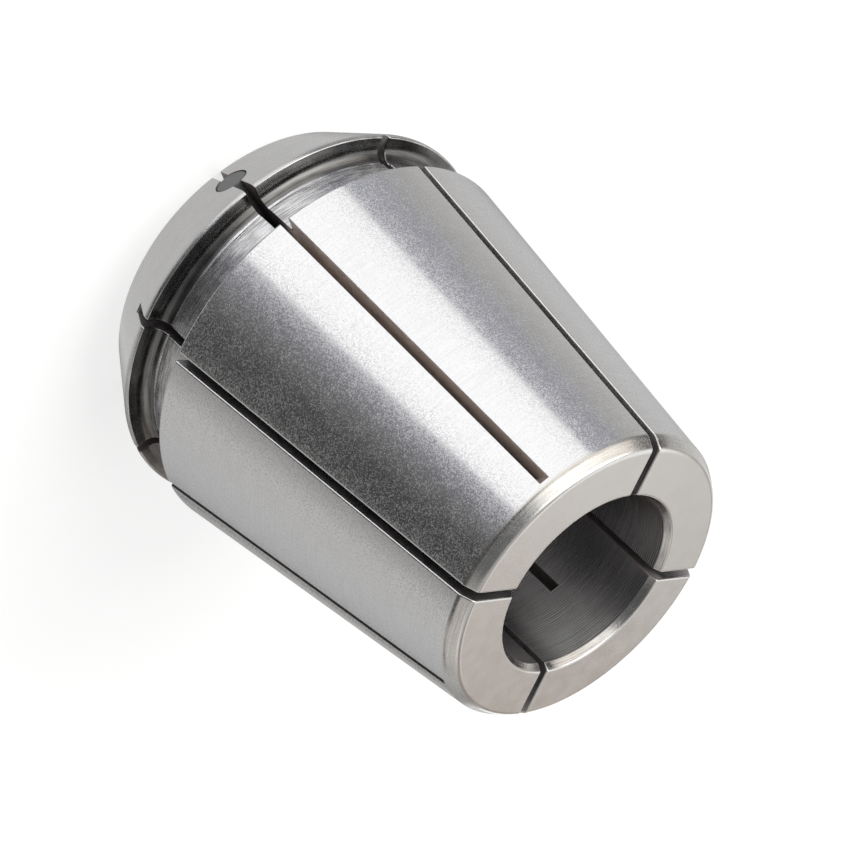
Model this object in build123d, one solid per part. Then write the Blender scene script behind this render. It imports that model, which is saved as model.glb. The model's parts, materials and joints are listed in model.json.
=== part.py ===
from build123d import *

import os
from math import cos, radians, sin, sqrt, tan

# Spring collet for a tapered tool holder, size 32: one steel body and four seal plugs.
# It stands on its nut face. The origin is the centre of that face, and +Z runs to the tail.
# Sizes are in millimetres and degrees.

# Overall form
collet_length = 40.0
taper_radius = 16.5  # the widest part of the long taper, at the shoulder
taper_angle = 8.0  # half angle of the taper that the holder squeezes
shoulder_height = 9.9

# Head, which the nut pushes on and pulls by
head_inset = 0.1  # the head's rim lies this much inside the shoulder's radius
head_height = 5.8
cone_angle = 30.0  # half angle of the cone that the nut bears on
rim_land = 0.5

# Groove that the nut's ring snaps into
groove_depth = 1.9  # below the shoulder
groove_fillet = 0.9
neck_step = 0.12  # the neck stands this much above the groove's floor

# Bore for the shank
bore_radius = 7.5
bore_chamfer_depth = 0.6
bore_chamfer_width = 0.35

# Edges
tail_chamfer_length = 0.95
tail_chamfer_width = 0.5
tail_blend = 0.4
rim_break = 0.12
face_break = 0.2

# Slots, sawn from the outside with a round saw that reaches the axis
slots_each_end = 4
slot_width = 0.8
saw_radius = 31.5
tail_web = 1.3  # metal left between a nut slot and the tail, on the outside
nut_web = 3.55  # metal left between a tail slot and the nut face, on the cone

# Seal plugs, one in each nut slot, square to the cone
plug_radius = 1.25
plug_height = 2.55

# Directions round the axis
nut_slot_start = -90.0
slot_pitch = 360.0 / slots_each_end
cut_margin = 2.0

# Sizes that follow from those above
cone_rise = tan(radians(cone_angle))
taper_fall = tan(radians(taper_angle))
head_radius = taper_radius - head_inset
face_radius = head_radius - (head_height - rim_land) * cone_rise
groove_radius = taper_radius - groove_depth
neck_radius = groove_radius + neck_step
tail_radius = taper_radius - (collet_length - shoulder_height) * taper_fall
chamfer_start = collet_length - tail_chamfer_length
chamfer_start_radius = tail_radius + tail_chamfer_length * taper_fall
saw_clear = taper_radius + cut_margin


def at_corner(shape, radius, height):
    """The corner of a flat outline that lies at this radius and height."""
    return shape.vertices().sort_by_distance((radius, height))[0]


def half_section():
    """Half of the section, with the radius along X and the height along Y."""
    fillet_middle = groove_fillet * (1 - sin(radians(45)))
    with BuildSketch() as section:
        with BuildLine():
            nut_side = Polyline(
                (bore_radius, bore_chamfer_depth),
                (bore_radius + bore_chamfer_width, 0),
                (face_radius, 0),
                (head_radius, head_height - rim_land),
                (head_radius, head_height),
                (groove_radius + groove_fillet, head_height),
            )
            floor = ThreePointArc(
                nut_side @ 1,
                (groove_radius + fillet_middle, head_height + fillet_middle),
                (groove_radius, head_height + groove_fillet),
            )
            Polyline(
                floor @ 1,
                (neck_radius, head_height + groove_fillet),
                (neck_radius, shoulder_height),
                (taper_radius, shoulder_height),
                (chamfer_start_radius, chamfer_start),
                (tail_radius - tail_chamfer_width, collet_length),
                (bore_radius + bore_chamfer_width, collet_length),
                (bore_radius, collet_length - bore_chamfer_depth),
                nut_side @ 0,
            )
        make_face()
        rims = [at_corner(section, head_radius, head_height), at_corner(section, taper_radius, shoulder_height)]
        chamfer(rims, rim_break)
        chamfer(at_corner(section, face_radius, 0), face_break)
        fillet(at_corner(section, tail_radius - tail_chamfer_width, collet_length), tail_blend)
        fillet(at_corner(section, chamfer_start_radius, chamfer_start), tail_blend)
    return section.sketch


def turned_blank():
    """The body before it is slotted."""
    return revolve(Plane.XZ * half_section(), Axis.Z)


def saw_drop(radius):
    """How far the saw's edge runs past its centre, at this distance from the axis."""
    return sqrt(2 * saw_radius * radius - radius**2)


def saw_cut(web, surface_radius):
    """A cut open at height 0 and below, whose end leaves the surface at the height of the web."""
    centre_height = web - saw_drop(surface_radius)
    middle_radius = saw_clear / 2
    with BuildSketch() as outline:
        with BuildLine():
            edge = ThreePointArc(
                (0, centre_height),
                (middle_radius, centre_height + saw_drop(middle_radius)),
                (saw_clear, centre_height + saw_drop(saw_clear)),
            )
            Polyline(edge @ 1, (saw_clear, -cut_margin), (0, -cut_margin), edge @ 0)
        make_face()
    return extrude(Plane.XZ * outline.sketch, slot_width / 2, both=True)


def nut_slot():
    """A slot open at the nut face, that ends just short of the tail."""
    end_height = collet_length - tail_web
    return saw_cut(end_height, tail_radius + tail_web * taper_fall)


def tail_slot():
    """A slot open at the tail, that ends on the nut cone."""
    cut = saw_cut(collet_length - nut_web, face_radius + nut_web * cone_rise)
    return Pos(0, 0, collet_length) * Rot(180, 0, 0) * cut


def plug_blank():
    """A rod square to the cone, long enough to run from outside the cone into the bore."""
    surface_radius = face_radius + plug_height * cone_rise
    inward = surface_radius / cos(radians(cone_angle)) - bore_radius / 2
    square_to_cone = Plane(
        origin=(surface_radius, 0, plug_height),
        x_dir=(0, 1, 0),
        z_dir=(-cos(radians(cone_angle)), 0, sin(radians(cone_angle))),
    )
    rod = Cylinder(plug_radius, inward + cut_margin, align=(Align.CENTER, Align.CENTER, Align.MIN))
    return square_to_cone * Pos(0, 0, -cut_margin) * rod


def round_axis(shape, start):
    """Copies of a shape, one for each slot of an end."""
    return [Rot(0, 0, start + index * slot_pitch) * shape for index in range(slots_each_end)]


def build_collet():
    """Each named piece of the collet."""
    blank = turned_blank()
    rods = round_axis(plug_blank(), nut_slot_start)
    cuts = round_axis(nut_slot(), nut_slot_start) + round_axis(tail_slot(), nut_slot_start + slot_pitch / 2)
    pieces = {"collet_body": blank - cuts - rods}
    for number, rod in enumerate(rods, start=1):
        pieces[f"seal_plug_{number}"] = rod & blank
    return pieces


os.makedirs("parts", exist_ok=True)
for name, piece in build_collet().items():
    export_step(piece, f"parts/{name}.step")
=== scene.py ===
import json
from math import acos, asin, cos, hypot, pi, radians, sin, sqrt, tan

import bpy
from mathutils import Matrix, Vector

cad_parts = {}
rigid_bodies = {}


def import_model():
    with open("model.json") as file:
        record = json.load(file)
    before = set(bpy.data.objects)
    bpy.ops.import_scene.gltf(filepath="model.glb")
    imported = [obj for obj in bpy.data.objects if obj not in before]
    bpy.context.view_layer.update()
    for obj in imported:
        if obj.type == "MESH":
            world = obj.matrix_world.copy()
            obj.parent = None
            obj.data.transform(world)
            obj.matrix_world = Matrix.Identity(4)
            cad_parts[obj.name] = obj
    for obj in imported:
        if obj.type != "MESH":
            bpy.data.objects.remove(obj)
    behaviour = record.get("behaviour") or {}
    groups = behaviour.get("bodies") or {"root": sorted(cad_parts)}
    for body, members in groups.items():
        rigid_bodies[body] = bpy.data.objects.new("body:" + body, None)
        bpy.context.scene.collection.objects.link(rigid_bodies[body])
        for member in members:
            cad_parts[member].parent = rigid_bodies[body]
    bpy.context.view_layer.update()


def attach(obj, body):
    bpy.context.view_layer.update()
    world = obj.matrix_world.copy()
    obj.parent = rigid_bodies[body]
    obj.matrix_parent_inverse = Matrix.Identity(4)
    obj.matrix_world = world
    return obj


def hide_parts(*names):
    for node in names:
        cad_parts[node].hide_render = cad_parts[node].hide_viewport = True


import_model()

mm = 0.001  # all sizes below are millimetres, and become metres in the meshes
scene = bpy.context.scene
rootBody = "root"

# The steel body

bodySizes = {
    "length": 40.0,
    "taperRadius": 16.5,
    "taperAngle": 8.0,
    "shoulderHeight": 9.9,
    "headInset": 0.1,
    "headHeight": 5.8,
    "coneAngle": 30.0,
    "rimLand": 0.5,
    "grooveDepth": 1.9,
    "grooveFillet": 0.9,
    "filletRound": 1.0,  # where the head's flank meets the groove's floor
    "floorLean": 10.5,
    "neckStep": 0.12,
    "boreRadius": 7.5,
    "boreChamferDepth": 0.6,
    "boreChamferWidth": 0.35,
    "tailChamferLength": 0.95,
    "tailChamferWidth": 0.5,
    "tailRound": 0.45,
    "chamferRound": 0.8,  # between the taper and the tail's chamfer
    "edgeRound": 0.17,
    "rimRound": 0.13,
    "flankDrop": 0.04,  # how much lower the head's flank lies
    "landRound": 0.9,  # between the cone and the rim
    "faceRound": 0.2,
    "slotsEachEnd": 4,
    "nutSlotStart": -90.0,
    "sawRadius": 31.5,
    "tailWeb": 1.3,
    "nutWeb": 3.55,
    "nutSlotWidth": 0.76,
    "nutSlotLip": 0.05,
    "tailSlotWidth": 0.67,
    "tailSlotLip": 0.125,
    "boreLip": 0.02,  # of all slots, inside the bore
    "lipSteps": 4,
    "columns": 42,  # between two slots
    "holdWidth": 0.05,  # a narrow strip beside each rounding keeps the flat next to it flat
    "holdShare": 0.3,  # of a row, the most that the strip may take
    "arcSteps": 12,
    "arcTurn": 12.0,  # degrees for each step of a rounding
    "leastSteps": 3,
    "sharpAngle": 35.0,
}

plugSizes = {
    "radius": 1.25,
    "height": 2.55,
    "gap": 0.09,  # dark line round the plug
    "sunk": 0.04,
    "edgeRound": 0.08,
    "sides": 64,
    "rings": 6,
    "edgeSteps": 3,
    "holeMargin": 1.0,  # how far the hole's drill runs past the cone
    "sharpAngle": 50.0,
}
sameHeight = 1e-4  # closer than this counts as at the slot's end
samePoint = 1e-5
mitreLimit = 0.5  # keeps the normal at a sharp corner short
weldDistance = 1e-7  # metres

finishNames = [
    "groundTaper", "nutCone", "scaledGroove", "turnedNeck", "groundFace", "turnedEdge", "turnedBore",
    "sawnNutSlot", "sawnTailSlot", "wornRim", "boreMouth",
]
groundTaper, nutCone, scaledGroove, turnedNeck, groundFace, turnedEdge, turnedBore = range(7)
sawnNut, sawnTail, wornRim, boreMouth = range(7, 11)


def sawDrop(radius):
    return sqrt(2 * bodySizes["sawRadius"] * radius - radius**2)


def bodyPlaces():  # what follows from the driving sizes
    b = bodySizes
    p = {}
    p["coneRise"] = tan(radians(b["coneAngle"]))
    p["taperFall"] = tan(radians(b["taperAngle"]))
    p["headRadius"] = b["taperRadius"] - b["headInset"]
    p["landHeight"] = b["headHeight"] - b["rimLand"]
    p["faceRadius"] = p["headRadius"] - p["landHeight"] * p["coneRise"]
    p["grooveRadius"] = b["taperRadius"] - b["grooveDepth"]
    p["neckRadius"] = p["grooveRadius"] + b["neckStep"]
    p["neckStart"] = b["headHeight"] + b["grooveFillet"]
    p["tailRadius"] = b["taperRadius"] - (b["length"] - b["shoulderHeight"]) * p["taperFall"]
    p["chamferStart"] = b["length"] - b["tailChamferLength"]
    p["chamferRadius"] = p["tailRadius"] + b["tailChamferLength"] * p["taperFall"]
    p["nutSlotEnd"] = b["length"] - b["tailWeb"]
    p["nutSlotEndRadius"] = p["tailRadius"] + b["tailWeb"] * p["taperFall"]
    p["tailSlotEndRadius"] = p["faceRadius"] + b["nutWeb"] * p["coneRise"]
    p["nutSaw"] = p["nutSlotEnd"] - sawDrop(p["nutSlotEndRadius"])
    p["tailSaw"] = b["nutWeb"] + sawDrop(p["tailSlotEndRadius"])
    p["pitch"] = 2 * pi / b["slotsEachEnd"]
    return p


place = bodyPlaces()


def nutSlotHeight(radius):  # the saw's edge at the end of a slot that opens at the nut face
    return place["nutSaw"] + sawDrop(radius)


def tailSlotHeight(radius):
    return place["tailSaw"] - sawDrop(radius)


def roundedCorner(before, corner, after, radius):
    if radius == 0:
        return [corner]
    a = (Vector(before) - Vector(corner)).normalized()
    c = (Vector(after) - Vector(corner)).normalized()
    opening = acos(max(-1, min(1, a.dot(c))))
    reach = radius / tan(opening / 2)
    centre = Vector(corner) + (a + c).normalized() * (radius / sin(opening / 2))
    first = Vector(corner) + a * reach - centre
    turn = pi - opening
    if first.x * a.y - first.y * a.x > 0:
        turn = -turn
    steps = max(bodySizes["leastSteps"], round(abs(turn) / radians(bodySizes["arcTurn"])))
    points = []
    for k in range(steps + 1):
        angle = turn * k / steps
        x = first.x * cos(angle) - first.y * sin(angle)
        y = first.x * sin(angle) + first.y * cos(angle)
        points.append((centre.x + x, centre.y + y))
    return points


def bodyOutline():
    b, p = bodySizes, place
    bore, length = b["boreRadius"], b["length"]
    mouth = bore + b["boreChamferWidth"]
    flank = b["headHeight"] - b["flankDrop"]
    soft, face = b["edgeRound"], b["faceRound"]
    lean = (b["grooveFillet"] + soft / 2) * tan(radians(b["floorLean"]))
    # each corner: radius, height, rounding and its finish, then the next stretch's finish and rows
    corners = [
        (bore, b["boreChamferDepth"], soft, turnedEdge, boreMouth, 1),
        (mouth, 0, soft, groundFace, groundFace, 3),
        (p["faceRadius"], 0, face, nutCone, nutCone, 4),
        (p["tailSlotEndRadius"], b["nutWeb"], 0, nutCone, nutCone, 2),
        (p["headRadius"], p["landHeight"], b["landRound"], nutCone, nutCone, 1),
        (p["headRadius"], flank, b["rimRound"], wornRim, scaledGroove, 1),
        (p["grooveRadius"] + lean, flank, b["filletRound"], scaledGroove, turnedNeck, 1),
        (p["grooveRadius"], p["neckStart"] + soft / 2, 0, turnedNeck, turnedNeck, 1),
        (p["neckRadius"], p["neckStart"] + soft, soft / 2, turnedNeck, turnedNeck, 3),
        (p["neckRadius"], b["shoulderHeight"], 2 * soft, scaledGroove, scaledGroove, 1),
        (b["taperRadius"], b["shoulderHeight"], soft, groundTaper, groundTaper, 16),
        (p["nutSlotEndRadius"], p["nutSlotEnd"], 0, groundTaper, groundTaper, 1),
        (p["chamferRadius"], p["chamferStart"], b["chamferRound"], turnedEdge, turnedEdge, 1),
        (p["tailRadius"] - b["tailChamferWidth"], length, b["tailRound"], groundFace, groundFace, 3),
        (mouth, length, soft, groundFace, boreMouth, 1),
        (bore, length - b["boreChamferDepth"], soft, turnedBore, turnedBore, 3),
        (bore, nutSlotHeight(bore), 0, turnedBore, turnedBore, 10),
        (bore, tailSlotHeight(bore), 0, turnedBore, turnedBore, 5),
    ]
    outline = []
    for k, (radius, height, rounding, roundFinish, finish, rows) in enumerate(corners):
        before, after = corners[k - 1][:2], corners[(k + 1) % len(corners)][:2]
        arc = roundedCorner(before, (radius, height), after, rounding)
        outline += [(point, roundFinish) for point in arc[:-1]]
        following = corners[(k + 1) % len(corners)]
        furtherOn = corners[(k + 2) % len(corners)][:2]
        goal = roundedCorner((radius, height), following[:2], furtherOn, following[2])[0]
        start = arc[-1]
        hold = b["holdWidth"] / hypot(goal[0] - start[0], goal[1] - start[1])
        shares = [row / rows for row in range(rows)]
        if hold < b["holdShare"] / rows:
            shares += [hold] * (rounding > 0) + [1 - hold] * (following[2] > 0)
        for share in sorted(shares):
            outline.append((tuple(start[n] + (goal[n] - start[n]) * share for n in (0, 1)), finish))
    tidy = [outline[0]]
    for point, finish in outline[1:]:
        last = tidy[-1][0]
        if hypot(point[0] - last[0], point[1] - last[1]) > samePoint:
            tidy.append((point, finish))
    return tidy


def outwardNormals(points):  # of a closed outline that runs anticlockwise, with the radius to the right
    normals = []
    for k, here in enumerate(points):
        before, after = Vector(points[k - 1]), Vector(points[(k + 1) % len(points)])
        a, c = (Vector(here) - before).normalized(), (after - Vector(here)).normalized()
        along = (a + c).normalized()
        normals.append(Vector((along.y, -along.x)) / max(mitreLimit, along.dot(a)))
    return normals


def halfSector():  # from the middle of a nut slot to the middle of the next tail slot
    b = bodySizes
    steps = b["lipSteps"]
    outline = bodyOutline()
    points = [point for point, _ in outline]
    normals = outwardNormals(points)
    count = len(points)
    vertices, faces, finishes = [], [], []
    slots = {  # the end's height, its side, half the width, the lip's rounding, the azimuth
        "nut": (nutSlotHeight, 1, b["nutSlotWidth"] / 2, b["nutSlotLip"], lambda angle: angle),
        "tail": (
            tailSlotHeight, -1, b["tailSlotWidth"] / 2, b["tailSlotLip"],
            lambda angle: place["pitch"] / 2 - angle,
        ),
    }

    def addVertex(radius, angle, height):
        vertices.append(Vector((radius * cos(angle), radius * sin(angle), height)) * mm)
        return len(vertices) - 1

    def addFace(corners, finish, facing=None):
        if facing is not None:
            area = Vector()
            for k, corner in enumerate(corners):
                area += vertices[corners[k - 1]].cross(vertices[corner])
            if area.dot(facing) < 0:
                corners = corners[::-1]
        faces.append(corners)
        finishes.append(finish)

    def lipAt(point, kind):
        inside = point[0] < b["boreRadius"] + b["boreChamferWidth"] / 2
        return b["boreLip"] if inside else slots[kind][3]

    def state(point, kind):  # past the end of this slot, at its end, or inside it
        edge, side = slots[kind][:2]
        past = side * (point[1] - edge(point[0]))
        return "end" if abs(past) < sameHeight else "web" if past > 0 else "open"

    rings = []
    for k, point in enumerate(points):
        radius, height = point
        ring = {}
        ends = {}
        for kind, (edge, _, half, _, turned) in slots.items():
            lip = lipAt(point, kind)
            ends[kind] = turned(asin((half + lip) / radius))
            ring[kind] = state(point, kind)
            base = addVertex(radius, ends[kind], height)
            ring[kind + "Web"] = [base]
            ring[kind + "Lip"] = [base]
            if ring[kind] != "open":
                ring[kind + "Web"].append(addVertex(radius, turned(asin(half / radius)), height))
                ring[kind + "Web"].append(addVertex(radius, turned(0), height))
            if ring[kind] != "web":
                for step in range(1, steps + 1):
                    swing = pi / 2 * step / steps
                    aside = half + lip * (1 - sin(swing))
                    deep = lip * (1 - cos(swing))
                    r = radius - deep * normals[k].x
                    z = height - deep * normals[k].y
                    if ring[kind] == "end":
                        r = radius - deep * (1 if normals[k].x > 0 else -1)
                        z = edge(r)
                    ring[kind + "Lip"].append(addVertex(r, turned(asin(aside / r)), z))
        first = ends["nut"] + b["holdWidth"] / radius
        last = ends["tail"] - b["holdWidth"] / radius
        inner = [first + (last - first) * n / b["columns"] for n in range(b["columns"] + 1)]
        ring["middle"] = [addVertex(radius, angle, height) for angle in inner]
        rings.append(ring)

    def row(ring, cellKinds):
        nutSide = ring["nut" + cellKinds["nut"]][::-1]
        return nutSide + ring["middle"] + ring["tail" + cellKinds["tail"]]

    for k in range(count):
        here, after = rings[k], rings[(k + 1) % count]
        cell = {kind: "Lip" if "open" in (here[kind], after[kind]) else "Web" for kind in slots}
        low, high = row(here, cell), row(after, cell)
        for n in range(len(low) - 1):
            addFace([low[n], low[n + 1], high[n + 1], high[n]], outline[k][1])

    for kind, (edge, side, half, _, turned) in slots.items():
        sawn = sawnNut if kind == "nut" else sawnTail
        ends = [k for k in range(count) if rings[k][kind] == "end"]
        outer, inner = sorted(ends, key=lambda k: -points[k][0])
        start, stop = (inner, outer) if kind == "nut" else (outer, inner)
        span = [(start + n) % count for n in range((stop - start) % count + 1)]
        rim = [rings[k][kind + "Lip"][-1] for k in span]
        r0 = points[outer][0] - lipAt(points[outer], kind)
        r1 = points[inner][0] + lipAt(points[inner], kind)
        radii = [r0 + (r1 - r0) * n / b["arcSteps"] for n in range(1, b["arcSteps"])]
        atWall = [addVertex(r, turned(asin(half / r)), edge(r)) for r in radii]
        atMiddle = [addVertex(r, turned(0), edge(r)) for r in radii]
        outerWall, outerMiddle = rings[outer][kind + "Web"][1:]
        innerWall, innerMiddle = rings[inner][kind + "Web"][1:]
        outerLip, innerLip = rings[outer][kind + "Lip"], rings[inner][kind + "Lip"]
        intoSlot = Vector((0, 0, -side))
        across = Vector((0, -1, 0))
        if kind == "tail":
            across = Vector((-sin(place["pitch"] / 2), cos(place["pitch"] / 2), 0))
        chain = atWall[::-1] if kind == "tail" else atWall
        addFace(rim + chain, sawn, across)
        addFace([outerWall, outerMiddle, atMiddle[0], atWall[0], outerLip[-1]], sawn, intoSlot)
        addFace([innerWall, innerMiddle, atMiddle[-1], atWall[-1], innerLip[-1]], sawn, intoSlot)
        addFace([outerWall] + outerLip, sawn, intoSlot)
        addFace([innerWall] + innerLip, sawn, intoSlot)
        for n in range(len(radii) - 1):
            addFace([atWall[n], atWall[n + 1], atMiddle[n + 1], atMiddle[n]], sawn, intoSlot)

    mesh = bpy.data.meshes.new("halfSector")
    mesh.from_pydata(vertices, [], faces)
    mesh.attributes.new("finish", "INT", "FACE").data.foreach_set("value", finishes)
    mesh.validate()
    return mesh


class Tree:  # a short way to write a node tree
    def __init__(self, nodes, links):
        self.nodes, self.links = nodes, links

    def fill(self, node, key, value):  # an input, with a socket or a plain value
        if isinstance(value, bpy.types.NodeSocket):
            self.links.new(value, node.inputs[key])
        else:
            node.inputs[key].default_value = value

    def add(self, kind, inputs=None, **settings):
        node = self.nodes.new(kind)
        for name, value in settings.items():
            setattr(node, name, value)
        for key, value in (inputs or {}).items():
            self.fill(node, key, value)
        return node

    def math(self, operation, first, second=0.0, third=0.0):
        inputs = {0: first, 1: second, 2: third}
        return self.add("ShaderNodeMath", inputs, operation=operation).outputs[0]

    def blend(self, factor, first, second):  # two colours, each a socket or three numbers
        node = self.add("ShaderNodeMix", {"Factor": factor}, data_type="RGBA")
        for key, value in ((6, first), (7, second)):
            self.fill(node, key, value if isinstance(value, bpy.types.NodeSocket) else (*value, 1))
        return node.outputs[2]

    def vector(self, operation, inputs):
        return self.add("ShaderNodeVectorMath", inputs, operation=operation).outputs[0]


def freshTree(owner):  # of a material or the world
    owner.use_nodes = True
    owner.node_tree.nodes.clear()
    return Tree(owner.node_tree.nodes, owner.node_tree.links)


def geometryTree(name, sizes):  # sizes: from name to kind and value
    group = bpy.data.node_groups.new(name, "GeometryNodeTree")
    group.interface.new_socket("Geometry", in_out="INPUT", socket_type="NodeSocketGeometry")
    group.interface.new_socket("Geometry", in_out="OUTPUT", socket_type="NodeSocketGeometry")
    for label, (kind, value) in sizes.items():
        socket = group.interface.new_socket(label, in_out="INPUT", socket_type="NodeSocket" + kind)
        socket.default_value = value
    return group


def applyTree(mesh, group, sizes, name):
    holder = bpy.data.objects.new(name + "Source", mesh)
    scene.collection.objects.link(holder)
    modifier = holder.modifiers.new(name, "NODES")
    modifier.node_group = group
    for item in group.interface.items_tree:
        if item.item_type == "SOCKET" and item.in_out == "INPUT" and item.name in sizes:
            modifier[item.identifier] = sizes[item.name][1]
    bpy.context.view_layer.update()
    evaluated = holder.evaluated_get(bpy.context.evaluated_depsgraph_get())
    result = bpy.data.meshes.new_from_object(evaluated)
    bpy.data.objects.remove(holder)
    result.name = name
    return result


def bodyTree(sizes, materials):  # mirrors the half sector, repeats it round the axis, bores the plug holes
    group = geometryTree("colletFromHalfSector", sizes)
    t = Tree(group.nodes, group.links)
    given = t.add("NodeGroupInput").outputs
    flipped = t.add("GeometryNodeTransform", {"Geometry": given["Geometry"], "Scale": (1, -1, 1)})
    flipped = t.add("GeometryNodeFlipFaces", {"Mesh": flipped.outputs[0]})
    sector = t.add("GeometryNodeJoinGeometry")
    t.links.new(given["Geometry"], sector.inputs[0])
    t.links.new(flipped.outputs[0], sector.inputs[0])

    count = given["Slots each end"]
    pitch = t.math("DIVIDE", 2 * pi, count)
    angle = t.math("MULTIPLY_ADD", t.add("GeometryNodeInputIndex").outputs[0], pitch, given["Start angle"])
    turn = t.add("ShaderNodeCombineXYZ", {"Z": angle}).outputs[0]
    marks = t.add("GeometryNodeMeshLine", {"Count": count, "Offset": (0, 0, 0)}).outputs[0]

    def aroundAxis(geometry):
        copies = t.add(
            "GeometryNodeInstanceOnPoints",
            {"Points": marks, "Instance": geometry, "Rotation": turn},
        )
        return t.add("GeometryNodeRealizeInstances", {"Geometry": copies.outputs[0]}).outputs[0]

    whole = t.add(
        "GeometryNodeMergeByDistance",
        {"Geometry": aroundAxis(sector.outputs[0]), "Distance": given["Weld distance"]},
    ).outputs[0]
    rod = t.add(
        "GeometryNodeMeshCylinder",
        {"Vertices": given["Hole sides"], "Radius": given["Hole radius"], "Depth": given["Hole depth"]},
    ).outputs[0]
    lean = t.add("ShaderNodeCombineXYZ", {"Y": given["Hole lean"]}).outputs[0]
    rod = t.add(
        "GeometryNodeTransform",
        {"Geometry": rod, "Translation": given["Hole centre"], "Rotation": lean},
    ).outputs[0]
    rod = t.add(
        "GeometryNodeStoreNamedAttribute",
        {"Geometry": rod, "Name": "finish", "Value": sawnNut},
        data_type="INT",
        domain="FACE",
    ).outputs[0]
    bored = t.add("GeometryNodeMeshBoolean", operation="DIFFERENCE", solver="EXACT")
    t.links.new(whole, bored.inputs["Mesh 1"])
    t.links.new(aroundAxis(rod), bored.inputs["Mesh 2"])
    shape = t.add("GeometryNodeRealizeInstances", {"Geometry": bored.outputs[0]}).outputs[0]
    finish = t.add("GeometryNodeInputNamedAttribute", {"Name": "finish"}, data_type="INT").outputs[0]
    for k, material in enumerate(materials):
        same = t.add("FunctionNodeCompare", data_type="INT", operation="EQUAL")
        t.links.new(finish, same.inputs[2])
        same.inputs[3].default_value = k
        painted = t.add("GeometryNodeSetMaterial", {"Geometry": shape, "Selection": same.outputs[0]})
        painted.inputs["Material"].default_value = material
        shape = painted.outputs[0]
    t.links.new(shape, t.add("NodeGroupOutput").inputs[0])
    return group


def plugCentre():  # the middle of a plug's outer end, on the cone
    return place["faceRadius"] + plugSizes["height"] * place["coneRise"], plugSizes["height"]


def makeBody(materials):
    lean = radians(bodySizes["coneAngle"])
    radius, height = plugCentre()
    margin = plugSizes["holeMargin"]
    depth = radius / cos(lean) - bodySizes["boreRadius"] / 2 + 2 * margin
    back = depth / 2 - margin
    sizes = {
        "Slots each end": ("Int", bodySizes["slotsEachEnd"]),
        "Start angle": ("Float", radians(bodySizes["nutSlotStart"])),
        "Weld distance": ("Float", weldDistance),
        "Hole sides": ("Int", plugSizes["sides"]),
        "Hole radius": ("Float", (plugSizes["radius"] + plugSizes["gap"]) * mm),
        "Hole depth": ("Float", depth * mm),
        "Hole lean": ("Float", pi / 2 + lean),
        "Hole centre": ("Vector", Vector((radius - back * cos(lean), 0, height + back * sin(lean))) * mm),
    }
    mesh = applyTree(halfSector(), bodyTree(sizes, materials), sizes, "colletBody")
    mesh.shade_smooth()
    mesh.set_sharp_from_angle(angle=radians(bodySizes["sharpAngle"]))
    body = bpy.data.objects.new("colletBody", mesh)
    scene.collection.objects.link(body)
    print("collet body:", len(mesh.polygons), "faces")
    return body


# The seal plugs

def makePlug(name, turn, material):
    s = plugSizes
    lean = radians(bodySizes["coneAngle"])
    radius, height = plugCentre()
    outward = Vector((cos(lean), 0, -sin(lean)))
    upward = Vector((sin(lean), 0, cos(lean)))
    aside = Vector((0, 1, 0))
    centre = Vector((radius, 0, height))
    coneCurve = radius / cos(lean)

    def across(reach, angle):
        return aside * (reach * cos(angle)) + upward * (reach * sin(angle))

    def onCone(reach, angle, sunk):
        offset = across(reach, angle)
        return centre + offset - outward * (offset.dot(aside) ** 2 / (2 * coneCurve) + s["sunk"] + sunk)

    def onBore(reach, angle):
        start = centre + across(reach, angle)
        # along the line start - t * outward, the first place at the bore's radius
        a = outward.x**2 + outward.y**2
        h = start.x * outward.x + start.y * outward.y
        c = start.x**2 + start.y**2 - bodySizes["boreRadius"] ** 2
        return start - outward * ((h - sqrt(h * h - a * c)) / a)

    edge = s["edgeRound"]
    rows = []
    for k in range(1, s["rings"] + 1):
        rows.append(("cone", (s["radius"] - edge) * k / s["rings"], 0.0))
    for k in range(1, s["edgeSteps"] + 1):
        swing = pi / 2 * k / s["edgeSteps"]
        rows.append(("cone", s["radius"] - edge + edge * sin(swing), edge * (1 - cos(swing))))
    rows.append(("bore", s["radius"], 0.0))
    rows.append(("bore", s["radius"] / 2, 0.0))
    vertices = [onCone(0, 0, 0)]
    for surface, reach, sunk in rows:
        for n in range(s["sides"]):
            angle = 2 * pi * n / s["sides"]
            vertices.append(onCone(reach, angle, sunk) if surface == "cone" else onBore(reach, angle))
    vertices.append(onBore(0, 0))
    sides, last = s["sides"], len(vertices) - 1
    faces = [(0, 1 + n, 1 + (n + 1) % sides) for n in range(sides)]
    for k in range(len(rows) - 1):
        low, high = 1 + k * sides, 1 + (k + 1) * sides
        for n in range(sides):
            m = (n + 1) % sides
            faces.append((low + n, high + n, high + m, low + m))
    inner = 1 + (len(rows) - 1) * sides
    faces += [(last, inner + (n + 1) % sides, inner + n) for n in range(sides)]
    mesh = bpy.data.meshes.new(name)
    spin = Matrix.Rotation(turn, 3, "Z")
    mesh.from_pydata([spin @ (v * mm) for v in vertices], [], faces)
    mesh.materials.append(material)
    mesh.shade_smooth()
    mesh.set_sharp_from_angle(angle=radians(s["sharpAngle"]))
    plug = bpy.data.objects.new(name, mesh)
    scene.collection.objects.link(plug)
    return plug


# Finishes: lengths in millimetres, heights in micrometres

everySteel = {  # where a finish doesn't say otherwise
    "metallic": 1.0,
    "fleck": 0.085,  # the width of one fleck
    "grain": 0.12,  # the width of the clouds among them
    "grainDetail": 3.0,
    "fleckShare": 0.4,
    "cloudShare": 0.6,
    "pitsFrom": 0.35,
    "pitsTo": 0.72,
    "streakDetail": 4.0,
    "blotch": 1.3,  # the width of the soft patches
    "blotchDetail": 2.0,
    "blotchSpread": (0.3, 0.7),
    "blotchRoughness": 0.03,
    "toneFrom": 0.36,
    "toneTo": 0.62,
    "streakInTone": 0.7,
    "blotchInTone": 0.3,
}

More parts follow.
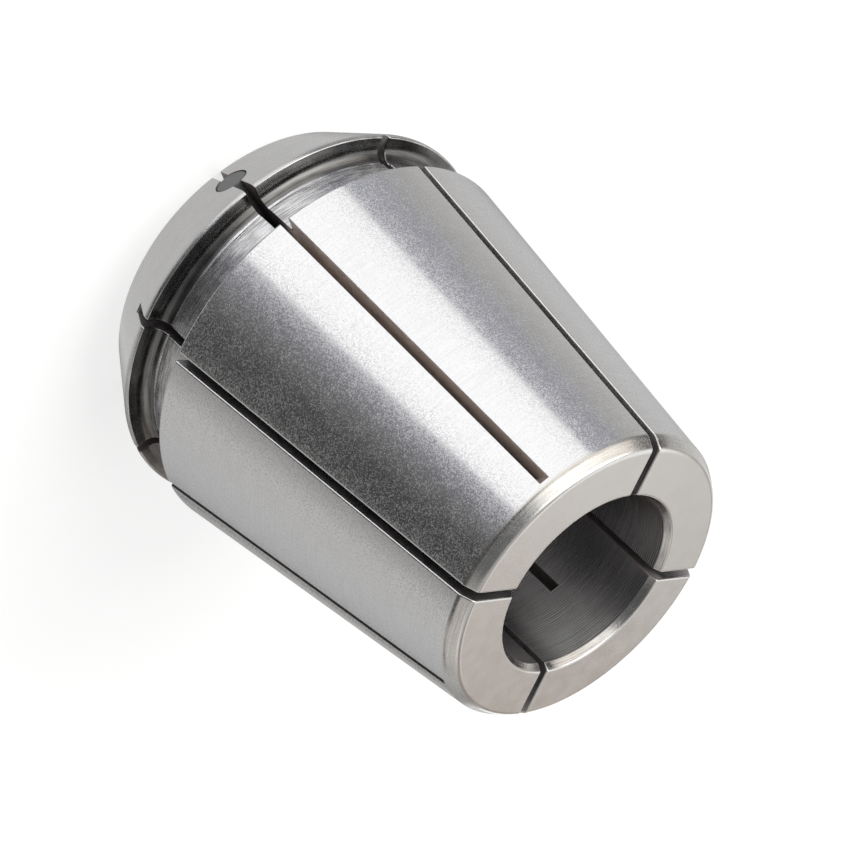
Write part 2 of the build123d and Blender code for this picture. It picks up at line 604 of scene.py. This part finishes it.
# shade: how dark the streaks are; coarse: the roughness of the pits; feed: the turning tool's step
steelFinishes = {
    "groundTaper": {
        "colour": (0.655, 0.652, 0.655), "shade": 0.05, "roughness": 0.075, "coarse": 0.375,
        "glint": 0.08, "fleck": 0.08, "grain": 0.155, "grainHeight": 1.6, "streakLength": 3.0,
        "streakWidth": 0.06, "streakHeight": 0.13,
    },
    "nutCone": {
        "colour": (0.66, 0.65, 0.645), "shade": 0.05, "roughness": 0.2, "coarse": 0.3,
        "grainHeight": 0.6, "streakLength": 4.0, "streakWidth": 0.05, "streakHeight": 1.2,
    },
    "scaledGroove": {
        "colour": (0.172, 0.168, 0.165), "shade": 0.35, "roughness": 0.24, "coarse": 0.26,
        "grainHeight": 0.2, "streakLength": 4.0, "streakWidth": 0.08, "streakHeight": 3.0,
    },
    "turnedNeck": {
        "colour": (0.62, 0.62, 0.63), "shade": 0.4, "roughness": 0.18, "coarse": 0.3,
        "grainHeight": 1.0, "streakLength": 1.6, "streakWidth": 0.1, "streakHeight": 14.0,
    },
    "groundFace": {
        "colour": (0.67, 0.655, 0.635), "shade": 0.02, "roughness": 0.18, "coarse": 0.24,
        "grainHeight": 0.6, "streakLength": 2.0, "streakWidth": 0.08, "streakHeight": 0.3,
    },
    "turnedEdge": {
        "colour": (0.62, 0.605, 0.585), "shade": 0.12, "roughness": 0.2, "coarse": 0.3,
        "grainHeight": 1.0, "streakLength": 2.5, "streakWidth": 0.08, "streakHeight": 2.2,
    },
    # the bore's dark colour is partly painted shade of its inside; its last two entries paint more shade
    # away from both ends
    "turnedBore": {
        "colour": (0.275, 0.262, 0.265), "shade": 0.2, "roughness": 0.32, "coarse": 0.4, "drawn": 0.92,
        "grainHeight": 0.3, "streakLength": 4.0, "streakWidth": 0.06, "streakHeight": 4.0, "feed": 0.19,
        "feedHeight": 28.0, "wander": 1.6, "deep": (1.5, 7.0), "deepShade": 0.6,
    },
    # the slot's light brown stands for its lit part; the entries from the mouth on paint shade into the
    # slot: dark matt deep inside and low down, a lighter shade on the far side
    "sawnNutSlot": {
        "colour": (0.85, 0.765, 0.72), "shade": 0.08, "roughness": 0.3, "coarse": 0.4, "metallic": 0.6,
        "grain": 0.1, "grainHeight": 0.4, "streakLength": 1.5, "streakWidth": 0.1, "streakHeight": 0.4,
        "mouth": (1.4, 2.4), "mouthUnshaded": 0.3, "paintedShadeBelow": (8.0, 10.5), "paintedShadeInside": (9.5, 11.0),
        "unshadedSide": (4.0, 7.0), "lighterShadeSide": (2.0, 5.0), "paintedShadeRoughness": 0.5,
        "paintedSlotShade": (0.07, 0.058, 0.056), "paintedFarShade": (0.2, 0.175, 0.17),
    },
    "wornRim": {
        "colour": (0.52, 0.51, 0.505), "shade": 0.3, "roughness": 0.16, "coarse": 0.3,
        "grainHeight": 1.0, "streakLength": 1.5, "streakWidth": 0.05, "streakHeight": 3.0,
    },
    "boreMouth": {
        "colour": (0.56, 0.55, 0.54), "shade": 0.2, "roughness": 0.14, "coarse": 0.26,
        "grainHeight": 1.0, "streakLength": 2.5, "streakWidth": 0.08, "streakHeight": 6.0,
    },
    # its last three entries paint matt brown-grey shading beside the bore, only in the slot on the side of
    # -X and +Y
    "sawnTailSlot": {
        "colour": (0.4, 0.385, 0.39), "shade": 0.15, "roughness": 0.4, "coarse": 0.5, "grain": 0.1,
        "grainHeight": 2.0, "streakLength": 1.5, "streakWidth": 0.1, "streakHeight": 2.0,
        "paintedShadingInside": (8.0, 8.8), "paintedShadingSide": (4.0, 8.0), "paintedShading": (0.2, 0.17, 0.17),
    },
}

micron = 1e-6


def steel(name):
    s = {**everySteel, **steelFinishes[name]}
    material = bpy.data.materials.new(name)
    t = freshTree(material)
    spot = t.add("ShaderNodeTexCoord").outputs["Object"]
    place3d = t.add("ShaderNodeSeparateXYZ", {"Vector": spot}).outputs
    height = place3d["Z"]

    def noise(vector, size, detail):
        inputs = {"Vector": vector, "Scale": 1 / size, "Detail": detail}
        return t.add("ShaderNodeTexNoise", inputs).outputs[0]

    def between(value, low, high, first, last):
        node = t.add("ShaderNodeMapRange", {"Value": value, "From Min": low, "From Max": high})
        node.interpolation_type = "SMOOTHSTEP"
        node.inputs["To Min"].default_value, node.inputs["To Max"].default_value = first, last
        return node.outputs[0]

    def bump(height, micrometres, normal=None):
        inputs = {"Height": height, "Distance": micrometres * micron}
        if normal:
            inputs["Normal"] = normal
        return t.add("ShaderNodeBump", inputs).outputs[0]

    cells = {"Vector": spot, "Scale": 1 / (s["fleck"] * mm)}
    flecks = t.add("ShaderNodeTexVoronoi", cells).outputs["Color"]
    cloudy = t.math("MULTIPLY", noise(spot, s["grain"] * mm, s["grainDetail"]), s["cloudShare"])
    pits = t.math("MULTIPLY_ADD", flecks, s["fleckShare"], cloudy)
    pits = between(pits, s["pitsFrom"], s["pitsTo"], 0.0, 1.0)
    across, along = 1 / (s["streakLength"] * mm), 1 / (s["streakWidth"] * mm)
    drawn = t.add("ShaderNodeMapping", {"Vector": spot, "Scale": (across, across, along)}).outputs[0]
    streak = noise(drawn, 1.0, s["streakDetail"])
    normal = bump(streak, s["streakHeight"], bump(pits, s["grainHeight"]))
    if "feed" in s:  # the tool's path, one ridge for each turn
        wander = t.math("MULTIPLY", streak, s["wander"])
        ridge = t.math("SINE", t.math("MULTIPLY_ADD", height, 2 * pi / (s["feed"] * mm), wander))
        normal = bump(ridge, s["feedHeight"], normal)
    blotch = noise(spot, s["blotch"] * mm, s["blotchDetail"])
    rough = t.math(
        "ADD",
        between(pits, 0.0, 1.0, s["roughness"], s["coarse"]),
        between(blotch, *s["blotchSpread"], -s["blotchRoughness"], s["blotchRoughness"]),
    )
    tone = t.math("MULTIPLY_ADD", streak, s["streakInTone"], t.math("MULTIPLY", blotch, s["blotchInTone"]))
    tone = between(tone, s["toneFrom"], s["toneTo"], 0.0, 1.0)
    darker, lighter = ([c * share for c in s["colour"]] for share in (1 - s["shade"], 1 + s["shade"] / 2))
    colour = t.blend(tone, darker, lighter)
    if "deep" in s:  # painted shade, darker away from both ends of the bore
        mouth, inner = (z * mm for z in s["deep"])
        middle = bodySizes["length"] / 2 * mm
        inside = t.math("SUBTRACT", middle, t.math("ABSOLUTE", t.math("SUBTRACT", height, middle)))
        paintedShading = between(inside, mouth, inner, 1.0, s["deepShade"])
        colour = t.vector("SCALE", {0: colour, "Scale": paintedShading})
    if "glint" in s:  # the pits' own facets
        glint = t.math("MULTIPLY_ADD", pits, s["glint"], 1 - s["glint"] / 2)
        colour = t.vector("SCALE", {0: colour, "Scale": glint})
    metallic = s["metallic"]
    flat = t.vector("MULTIPLY", {0: spot, 1: (1, 1, 0)})
    radius = t.add("ShaderNodeVectorMath", {0: flat}, operation="LENGTH").outputs["Value"]
    if "paintedShading" in s:  # painted shading: matt brown-grey beside the bore, only in the slot on the side of -X and +Y
        unpainted = between(radius, *(r * mm for r in s["paintedShadingInside"]), 0.0, 1.0)
        aside = t.math("SUBTRACT", place3d["Y"], place3d["X"])
        unpainted = t.math("MAXIMUM", unpainted, between(aside, *(d * mm for d in s["paintedShadingSide"]), 1.0, 0.0))
        colour = t.blend(unpainted, s["paintedShading"], colour)
        metallic = unpainted
    if "paintedSlotShade" in s:  # painted shade, dark and matt deep in the slot and low down, a lighter shade on the far side, but for the mouth and the open part of the slot on the -Y side, whose light brown stands for the lit part
        low, high = (z * mm for z in s["paintedShadeBelow"])
        deep, shallow = (r * mm for r in s["paintedShadeInside"])
        near, far = (-y * mm for y in s["unshadedSide"])
        above = between(height, low, high, 0.0, 1.0)
        unshaded = t.math("MULTIPLY", above, between(radius, deep, shallow, 0.0, 1.0))
        unshaded = t.math("MULTIPLY", unshaded, between(place3d["Y"], far, near, 1.0, 0.0))
        unshadedMouth = between(height, *(z * mm for z in s["mouth"]), s["mouthUnshaded"], 0.0)
        unshaded = t.math("MAXIMUM", unshaded, unshadedMouth)
        farther = between(place3d["Y"], *(y * mm for y in s["lighterShadeSide"]), 0.0, 1.0)
        colour = t.blend(unshaded, t.blend(farther, s["paintedSlotShade"], s["paintedFarShade"]), colour)
        metallic = t.math("MULTIPLY", unshaded, metallic)
        matt = s["paintedShadeRoughness"]
        rough = t.math("MULTIPLY_ADD", unshaded, -matt, t.math("ADD", rough, matt))
    shader = t.add(
        "ShaderNodeBsdfPrincipled",
        {"Base Color": colour, "Metallic": metallic, "Roughness": rough, "Normal": normal},
    )
    if "drawn" in s:  # fine turned marks spread the light along the axis
        upward = t.add("ShaderNodeCombineXYZ", {"Z": 1.0}).outputs[0]
        t.links.new(upward, shader.inputs["Tangent"])
        shader.inputs["Anisotropic"].default_value = s["drawn"]
    t.add("ShaderNodeOutputMaterial", {"Surface": shader.outputs[0]})
    return material


plugFinish = {
    "colour": (0.108, 0.11, 0.114),
    "shades": (0.8, 1.2),
    "roughness": 0.42,
    "grain": 0.3,
    "grainDetail": 4.0,
    "grainHeight": 6.0,
}


def rubber():
    s = plugFinish
    material = bpy.data.materials.new("plugRubber")
    t = freshTree(material)
    spot = t.add("ShaderNodeTexCoord").outputs["Object"]
    grain = t.add(
        "ShaderNodeTexNoise",
        {"Vector": spot, "Scale": 1 / (s["grain"] * mm), "Detail": s["grainDetail"]},
    ).outputs[0]
    bump = t.add("ShaderNodeBump", {"Height": grain, "Distance": s["grainHeight"] * micron}).outputs[0]
    shade = t.add("ShaderNodeValToRGB", {"Fac": grain})
    for element, factor in zip(shade.color_ramp.elements, s["shades"]):
        element.color = (*(c * factor for c in s["colour"]), 1)
    shader = t.add(
        "ShaderNodeBsdfPrincipled",
        {"Base Color": shade.outputs[0], "Roughness": s["roughness"], "Normal": bump},
    )
    t.add("ShaderNodeOutputMaterial", {"Surface": shader.outputs[0]})
    return material


# The camera, as the photograph was taken

cameraPlace = {
    "azimuth": -75.2,
    "elevation": 33.4,
    "roll": 133.03,  # the axis runs down to the right in the picture
    "distance": 254.5,
    "target": (-0.41, 0.11, 20.32),
    "lens": 144.5,
    "clipStart": 10.0,
}


def makeCamera():
    c = cameraPlace
    azimuth, elevation, roll = (radians(c[key]) for key in ("azimuth", "elevation", "roll"))
    back = Vector((cos(elevation) * cos(azimuth), cos(elevation) * sin(azimuth), sin(elevation)))
    level = Vector((0, 0, 1)).cross(back).normalized()
    upright = back.cross(level)
    right = level * cos(roll) + upright * sin(roll)
    up = upright * cos(roll) - level * sin(roll)
    camera = bpy.data.objects.new("photoCamera", bpy.data.cameras.new("photoCamera"))
    camera.data.lens = c["lens"]
    camera.data.clip_start = c["clipStart"] * mm
    spot = (Vector(c["target"]) + back * c["distance"]) * mm
    camera.matrix_world = Matrix.Translation(spot) @ Matrix((right, up, back)).transposed().to_4x4()
    scene.collection.objects.link(camera)
    scene.camera = camera
    print("camera at", tuple(round(v, 4) for v in spot))


# The studio: what the steel mirrors, by the direction round the axis from the camera's side

studio = {
    "lowBand": [  # degrees round from the camera's side, brightness, colour
        (-180, 1.35, "white"), (-170, 1.35, "white"), (-163, 0.98, "white"), (-150, 0.82, "white"),
        (-135, 0.71, "white"), (-112, 0.68, "warm"), (-96, 0.55, "warm"), (-82, 0.47, "blue"),
        (-64, 0.54, "blue"), (-62.5, 1.5, "white"), (-3.4, 1.55, "white"), (-1.2, 0.54, "blue"),
        (8, 0.32, "blue"), (20, 0.18, "white"), (34, 0.08, "white"), (53, 0.07, "white"),
        (60, 0.42, "warm"), (80, 0.7, "warm"), (110, 0.65, "white"), (132, 0.56, "white"),
        (145, 0.36, "white"), (153, 0.34, "white"), (156, 1.5, "white"),
    ],
    "highBand": [
        (-180, 0.69, "warm"), (-165, 0.64, "warm"), (-148, 0.72, "warm"), (-121, 0.7, "warm"),
        (-119, 0.45, "white"), (-96, 0.45, "white"), (-94, 1.8, "cream"), (-60, 1.6, "cream"),
        (-36, 1.3, "cream"), (-20, 1.0, "cream"), (-12, 0.24, "white"), (10, 0.1, "white"),
        (46, 0.12, "white"), (70, 0.88, "warm"), (112, 1.1, "warm"), (132, 0.46, "rose"),
        (165, 0.5, "rose"),
    ],
    "sideBand": [  # the share of the high band that is left higher up
        (-180, 1.0, "white"), (45, 1.0, "white"), (62, 0.35, "white"), (142, 0.35, "white"),
        (160, 1.0, "white"),
    ],
    "gaps": [  # the share of both bands that is left near the horizon, and where it begins and ends
        {
            "stops": [
                (-180, 1.0, "white"), (-121, 1.0, "white"), (-119, 0.2, "blue"), (-96, 0.2, "blue"),
                (-94, 1.0, "white"), (48, 1.0, "white"), (56, 0.1, "blue"), (79, 0.12, "blue"),
                (87, 1.0, "white"),
            ],
            "from": (-15, -8),
            "to": (14, 22),
        },
        {
            "stops": [
                (-180, 1.0, "white"), (90, 1.0, "white"), (97, 0.4, "white"), (115, 0.4, "white"),
                (122, 1.0, "white"),
            ],
            "from": (-10, -4),
            "to": (5, 9),
        },
        {
            "stops": [
                (-180, 0.4, "warm"), (-165, 0.5, "warm"), (-150, 0.8, "white"), (-135, 1.0, "white"),
                (148, 1.0, "white"), (156, 0.35, "warm"),
            ],
            "from": (-50, -44),
            "to": (-22, -12),
        },
    ],
    # degrees above the horizon between which one part gives way to the next
    "fromUnderneath": (-54, -44),
    "fromFloor": (-36, -30),
    "lowToHigh": (0, 18),
    "shareRise": (26, 34),
    "sideRise": (28, 36),
    "toOverhead": (58, 75),
    "floorShare": 0.6,  # of the low band, straight below it
    "lowShare": (0.75, 0.73, 0.71),  # of the high band, below and above the tail face's reflection
    "highShare": (1.75, 1.8, 1.85),
    "underneath": (0.62, 0.62, 0.62),
    "overhead": (0.5, 0.5, 0.5),
}
lightColours = {
    "white": (1, 1, 1),
    "warm": (1.0, 0.98, 0.95),
    "cream": (1.0, 0.97, 0.92),
    "rose": (1.0, 0.9, 0.83),
    "blue": (0.94, 0.95, 1.04),
}


def makeStudio():
    world = bpy.data.worlds.new("studio")
    world.cycles.sampling_method = "NONE"
    scene.world = world
    t = freshTree(world)
    outward = t.add("ShaderNodeTexCoord").outputs["Generated"]
    direction = t.add("ShaderNodeSeparateXYZ", {"Vector": outward}).outputs
    azimuth = t.math("ARCTAN2", direction["Y"], direction["X"])
    turned = t.math("SUBTRACT", azimuth, radians(cameraPlace["azimuth"]))
    share = t.math("FRACT", t.math("MULTIPLY_ADD", turned, 1 / (2 * pi), 0.5))
    height = t.math("ARCSINE", direction["Z"])

    def band(stops):
        ramp = t.add("ShaderNodeValToRGB", {"Fac": share})
        elements = ramp.color_ramp.elements
        while len(elements) < len(stops):
            elements.new(0.5)
        for element, (angle, strength, colour) in zip(elements, stops):
            element.position = angle / 360 + 0.5
            element.color = (*(c * strength for c in lightColours[colour]), 1)
        return ramp.outputs[0]

    def rise(lowAngle, highAngle, first=0.0, last=1.0):
        node = t.add(
            "ShaderNodeMapRange",
            {"Value": height, "From Min": radians(lowAngle), "From Max": radians(highAngle)},
            interpolation_type="SMOOTHSTEP",
        )
        node.inputs["To Min"].default_value, node.inputs["To Max"].default_value = first, last
        return node.outputs[0]

    white = lightColours["white"]
    nearFloor = rise(*studio["fromFloor"], studio["floorShare"], 1.0)
    low = t.vector("SCALE", {0: band(studio["lowBand"]), "Scale": nearFloor})
    tint = t.blend(rise(*studio["shareRise"]), studio["lowShare"], studio["highShare"])
    side = t.blend(rise(*studio["sideRise"]), white, band(studio["sideBand"]))
    high = t.vector("MULTIPLY", {0: band(studio["highBand"]), 1: tint})
    high = t.vector("MULTIPLY", {0: high, 1: side})
    mirrored = t.blend(rise(*studio["lowToHigh"]), low, high)
    for gap in studio["gaps"]:
        window = t.math("SUBTRACT", rise(*gap["from"]), rise(*gap["to"]))
        left = t.blend(window, white, band(gap["stops"]))
        mirrored = t.vector("MULTIPLY", {0: mirrored, 1: left})
    mirrored = t.blend(rise(*studio["toOverhead"]), mirrored, studio["overhead"])
    mirrored = t.blend(rise(*studio["fromUnderneath"]), studio["underneath"], mirrored)
    shown = t.blend(t.add("ShaderNodeLightPath").outputs["Is Camera Ray"], mirrored, white)
    light = t.add("ShaderNodeBackground", {"Color": shown})
    t.add("ShaderNodeOutputWorld", {"Surface": light.outputs[0]})


floorLook = {
    "halfWidth": 1.5,  # metres
    "shadowed": (0.3, 0.3, 0.3),
    "glow": 0.74,
}


def makeFloor():
    half = floorLook["halfWidth"]
    corners = [(-half, -half, 0), (half, -half, 0), (half, half, 0), (-half, half, 0)]
    mesh = bpy.data.meshes.new("floor")
    mesh.from_pydata(corners, [], [(0, 1, 2, 3)])
    floor = bpy.data.objects.new("floor", mesh)
    scene.collection.objects.link(floor)
    material = bpy.data.materials.new("paleFloor")
    t = freshTree(material)
    shadowed = t.add("ShaderNodeBsdfDiffuse", {"Color": (*floorLook["shadowed"], 1)})
    lit = t.add("ShaderNodeEmission", {"Strength": floorLook["glow"]})
    both = t.add("ShaderNodeAddShader")
    t.links.new(shadowed.outputs[0], both.inputs[0])
    t.links.new(lit.outputs[0], both.inputs[1])
    glossy = t.add("ShaderNodeLightPath").outputs["Is Glossy Ray"]
    below = t.add("ShaderNodeNewGeometry").outputs["Backfacing"]
    clear = t.math("MAXIMUM", glossy, below)  # in reflections and from below
    surface = t.add("ShaderNodeMixShader", {"Fac": clear})
    t.links.new(both.outputs[0], surface.inputs[1])
    t.links.new(t.add("ShaderNodeBsdfTransparent").outputs[0], surface.inputs[2])
    t.add("ShaderNodeOutputMaterial", {"Surface": surface.outputs[0]})
    mesh.materials.append(material)


lampLook = {"size": 0.3, "energy": 0.9, "place": (-0.18, -0.22, 0.42)}  # metres and watts


def makeLamp():
    lamp = bpy.data.lights.new("softLamp", "AREA")
    lamp.shape, lamp.size, lamp.energy = "DISK", lampLook["size"], lampLook["energy"]
    holder = bpy.data.objects.new("softLamp", lamp)
    spot = Vector(lampLook["place"])
    holder.matrix_world = Matrix.Translation(spot) @ spot.to_track_quat("Z", "Y").to_matrix().to_4x4()
    holder.visible_glossy = False
    holder.visible_camera = False
    scene.collection.objects.link(holder)


scene.view_settings.view_transform = "Standard"
makeCamera()
makeStudio()
makeFloor()
makeLamp()
print("studio ready")

steels = [steel(name) for name in finishNames]
body = makeBody(steels)
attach(body, rootBody)
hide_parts("collet_body")

plugMaterial = rubber()
for number in range(bodySizes["slotsEachEnd"]):
    turn = radians(bodySizes["nutSlotStart"]) + number * place["pitch"]
    plug = makePlug(f"sealPlug{number + 1}", turn, plugMaterial)
    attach(plug, rootBody)
    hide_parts(f"seal_plug_{number + 1}")
print("seal plugs ready")
